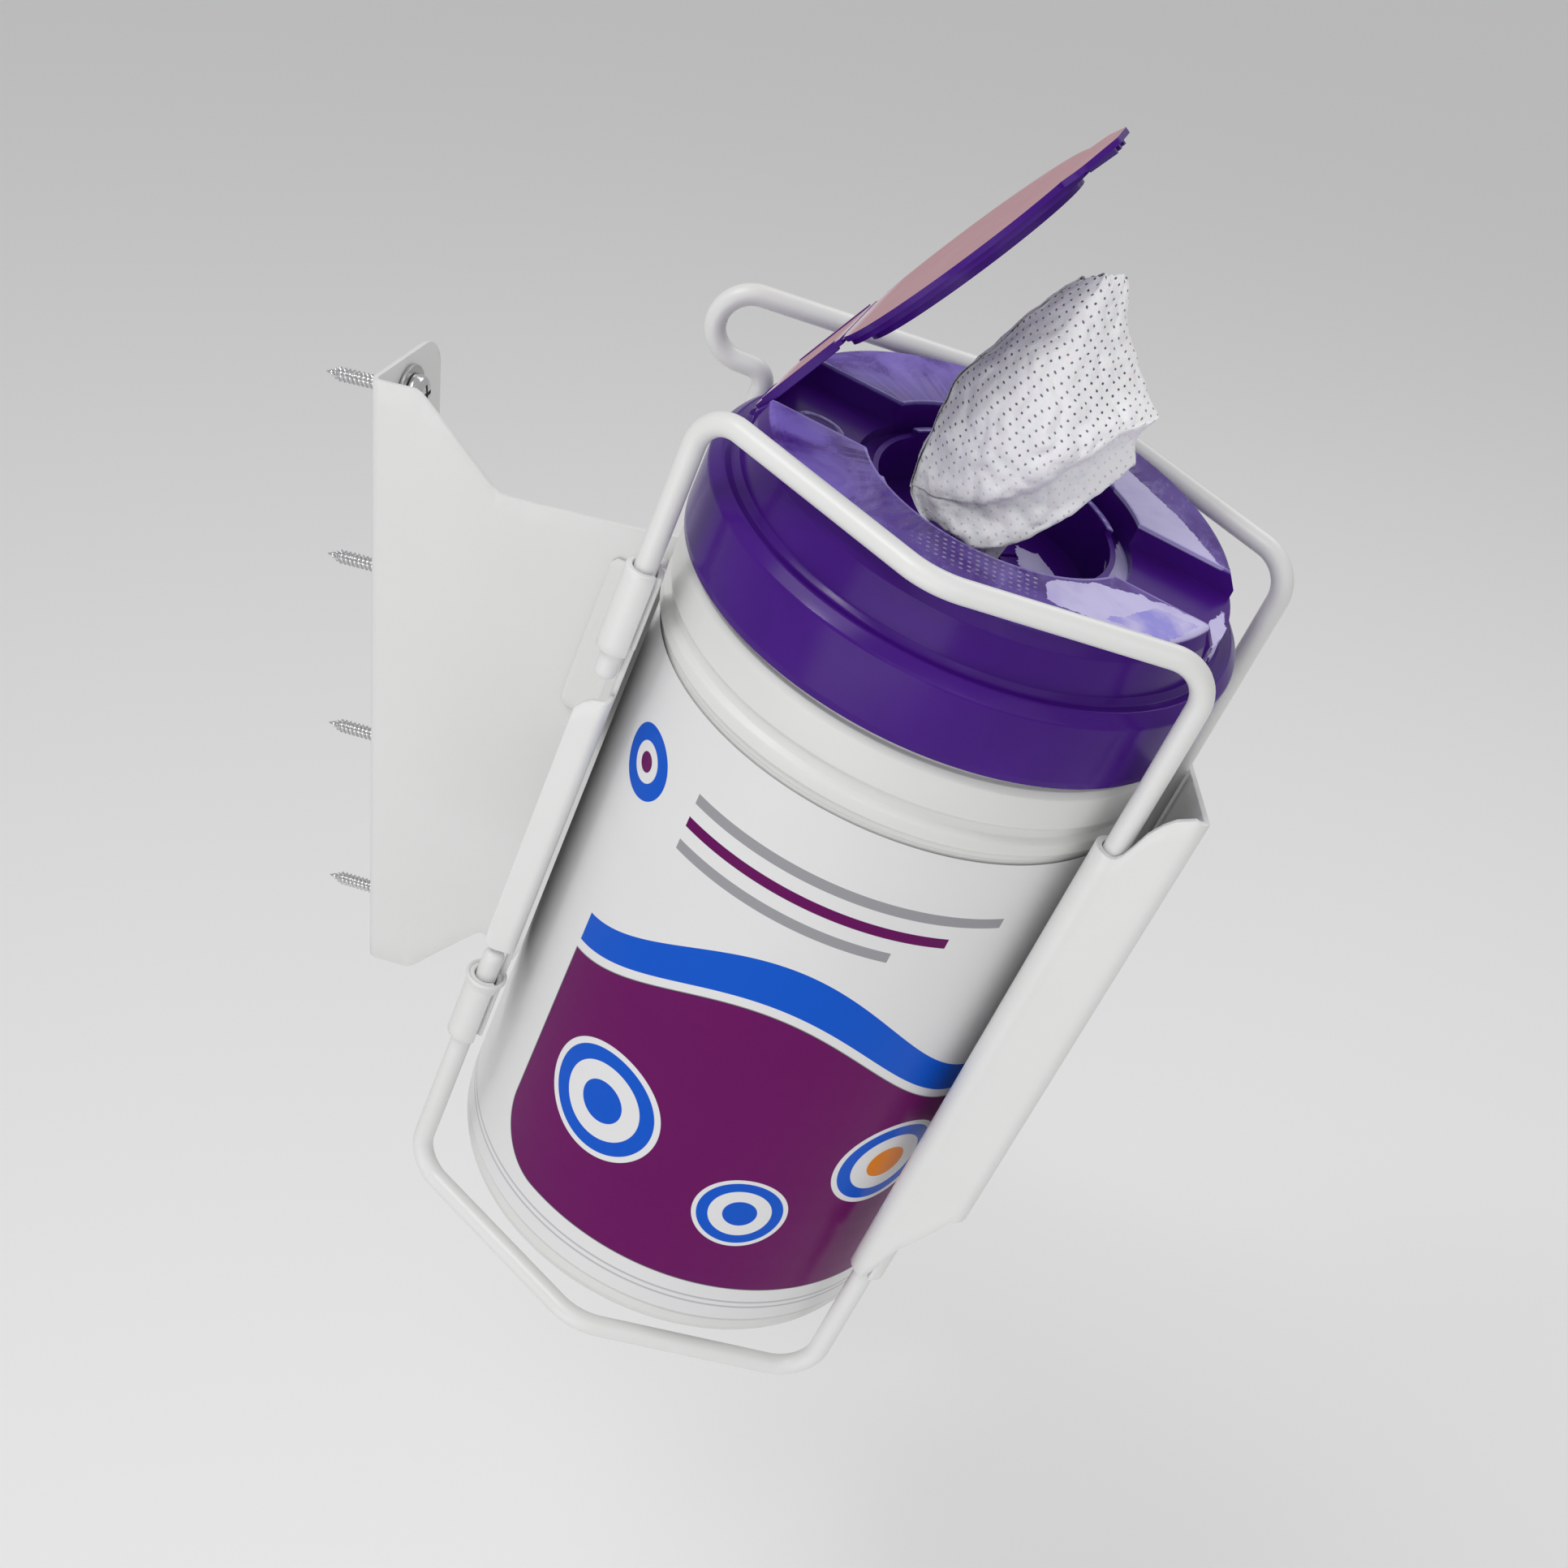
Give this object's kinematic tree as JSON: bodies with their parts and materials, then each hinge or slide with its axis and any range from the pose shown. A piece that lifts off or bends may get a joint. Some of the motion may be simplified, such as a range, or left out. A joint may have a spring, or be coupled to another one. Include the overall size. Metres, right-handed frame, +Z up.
{
  "type": "wall-mounted wipe dispenser",
  "caption": "Folded and wire-formed steel wall bracket that holds a leaning round tub of wipes, with a hinged flap in the lid and a wipe standing out of the mouth.",
  "frame": {"origin": "middle of the back face of the wall flange, on the wall", "axes": "+X away from the wall, +Y along the wall towards the flange's free edge, +Z up"},
  "size_m": [0.294, 0.183, 0.3355],
  "materials": {
    "coated_steel": "satin powder coat, pale warm grey",
    "zinc_steel": "dull zinc plate",
    "chrome_steel": "polished plate",
    "tub_plastic": "smooth semi-matt blow-moulded plastic",
    "label_film": "glossy printed film",
    "lid_plastic": "smooth moulded plastic, deep purple",
    "flap_plastic": "moulded plastic, faded dusty mauve on its face",
    "wipe_cloth": "soft non-woven"
  },
  "bodies": {
    "root": {"bracket_plate": "coated_steel", "left_guide": "coated_steel", "rear_wire": "coated_steel", "wall_washer_1": "zinc_steel", "wall_washer_2": "zinc_steel", "wall_washer_3": "zinc_steel", "wall_washer_4": "zinc_steel", "wall_screw_1": "chrome_steel", "wall_screw_2": "chrome_steel", "wall_screw_3": "chrome_steel", "wall_screw_4": "chrome_steel", "tub_body": "tub_plastic", "tub_label": "label_film", "lid_cap": "lid_plastic", "wipe_roll": "wipe_cloth", "wipe_tail": "wipe_cloth"},
    "link": {"flap_link": "lid_plastic"},
    "flap": {"flap": "flap_plastic"},
    "top_wire": {"top_wire": "coated_steel"},
    "bottom_wire": {"bottom_wire": "coated_steel"}
  },
  "joints": [
    {"name": "flap_link_hinge", "type": "hinge", "parent": "root", "child": "link", "pos_m": [0.14276, -0.0935, 0.15757], "axis": [0, 1, 0], "range_deg": [-20, 57.4], "deforming": ["wipe_tail"]},
    {"name": "flap_hinge", "type": "hinge", "parent": "link", "child": "flap", "pos_m": [0.16163, -0.0935, 0.17852], "axis": [0, 1, 0], "range_deg": [-50, 3.4]},
    {"name": "top_wire_slide", "type": "slide", "parent": "root", "child": "top_wire", "axis": [0.2656, 0, 0.9641], "range_m": [-0.0015, 0.018]},
    {"name": "bottom_wire_slide", "type": "slide", "parent": "root", "child": "bottom_wire", "axis": [0.2656, 0, 0.9641], "range_m": [-0.018, 0]}
  ]
}
